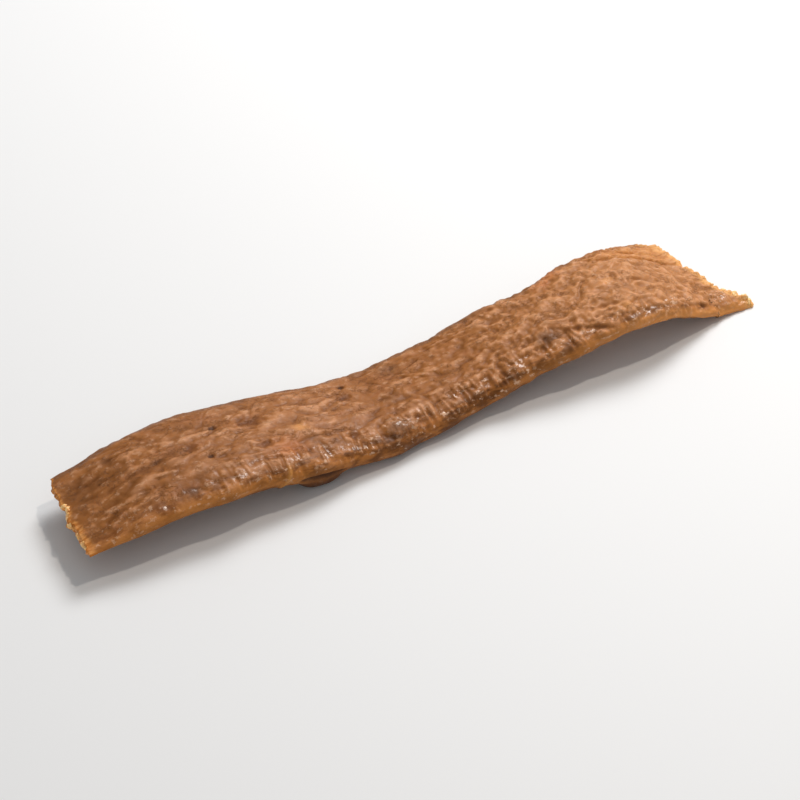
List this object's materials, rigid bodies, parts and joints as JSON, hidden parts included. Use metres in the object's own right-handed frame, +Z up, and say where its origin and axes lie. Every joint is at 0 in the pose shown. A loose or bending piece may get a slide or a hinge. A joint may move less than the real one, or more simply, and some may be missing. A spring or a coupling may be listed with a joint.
{
  "type": "chicken jerky strip",
  "caption": "One long, thin strip of dried chicken meat, warped into a gentle wave, with a torn left end and a pointed right end.",
  "frame": {"origin": "on the resting plane, under the middle of the bounding box", "axes": "+X along the strip from its torn left end to its pointed right end, +Y across it from the thick front edge to the thin back edge, +Z up"},
  "size_m": [0.1488, 0.0272, 0.0115],
  "materials": {
    "dried_meat": "satin"
  },
  "bodies": {
    "root": {"jerky_strip": "dried_meat"}
  },
  "joints": []
}
